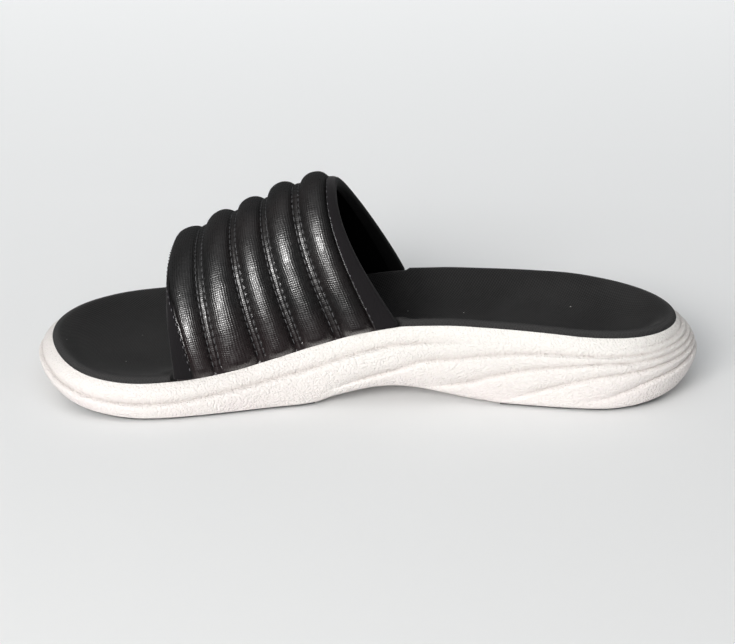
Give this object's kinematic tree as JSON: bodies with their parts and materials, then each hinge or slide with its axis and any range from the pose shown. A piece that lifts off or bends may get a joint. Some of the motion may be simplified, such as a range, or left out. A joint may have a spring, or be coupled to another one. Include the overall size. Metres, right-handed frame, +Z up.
{
  "type": "sport slide sandal",
  "caption": "Open-toe slide sandal: white moulded foam sole with a waved side, black cupped insole and a padded, ribbed black band over the foot.",
  "frame": {"origin": "on the floor, under the centre of the bounding box", "axes": "toe towards -X, heel towards +X, medial side towards -Y, lateral side towards +Y, +Z up"},
  "size_m": [0.2716, 0.1058, 0.0863],
  "materials": {
    "foam": "white moulded foam, matte with a fine pebble grain",
    "tread_rubber": "black, matte",
    "footbed_cloth": "black fine twill over foam, matte",
    "band_leather": "black synthetic leather with a fine grid emboss, satin",
    "binding_tape": "near-black microfibre, matte"
  },
  "bodies": {
    "root": {"outsole_forefoot": "tread_rubber", "outsole_heel": "tread_rubber", "midsole": "foam", "insole": "footbed_cloth", "upper_band": "band_leather", "front_binding": "binding_tape", "rear_binding": "binding_tape"}
  },
  "joints": []
}
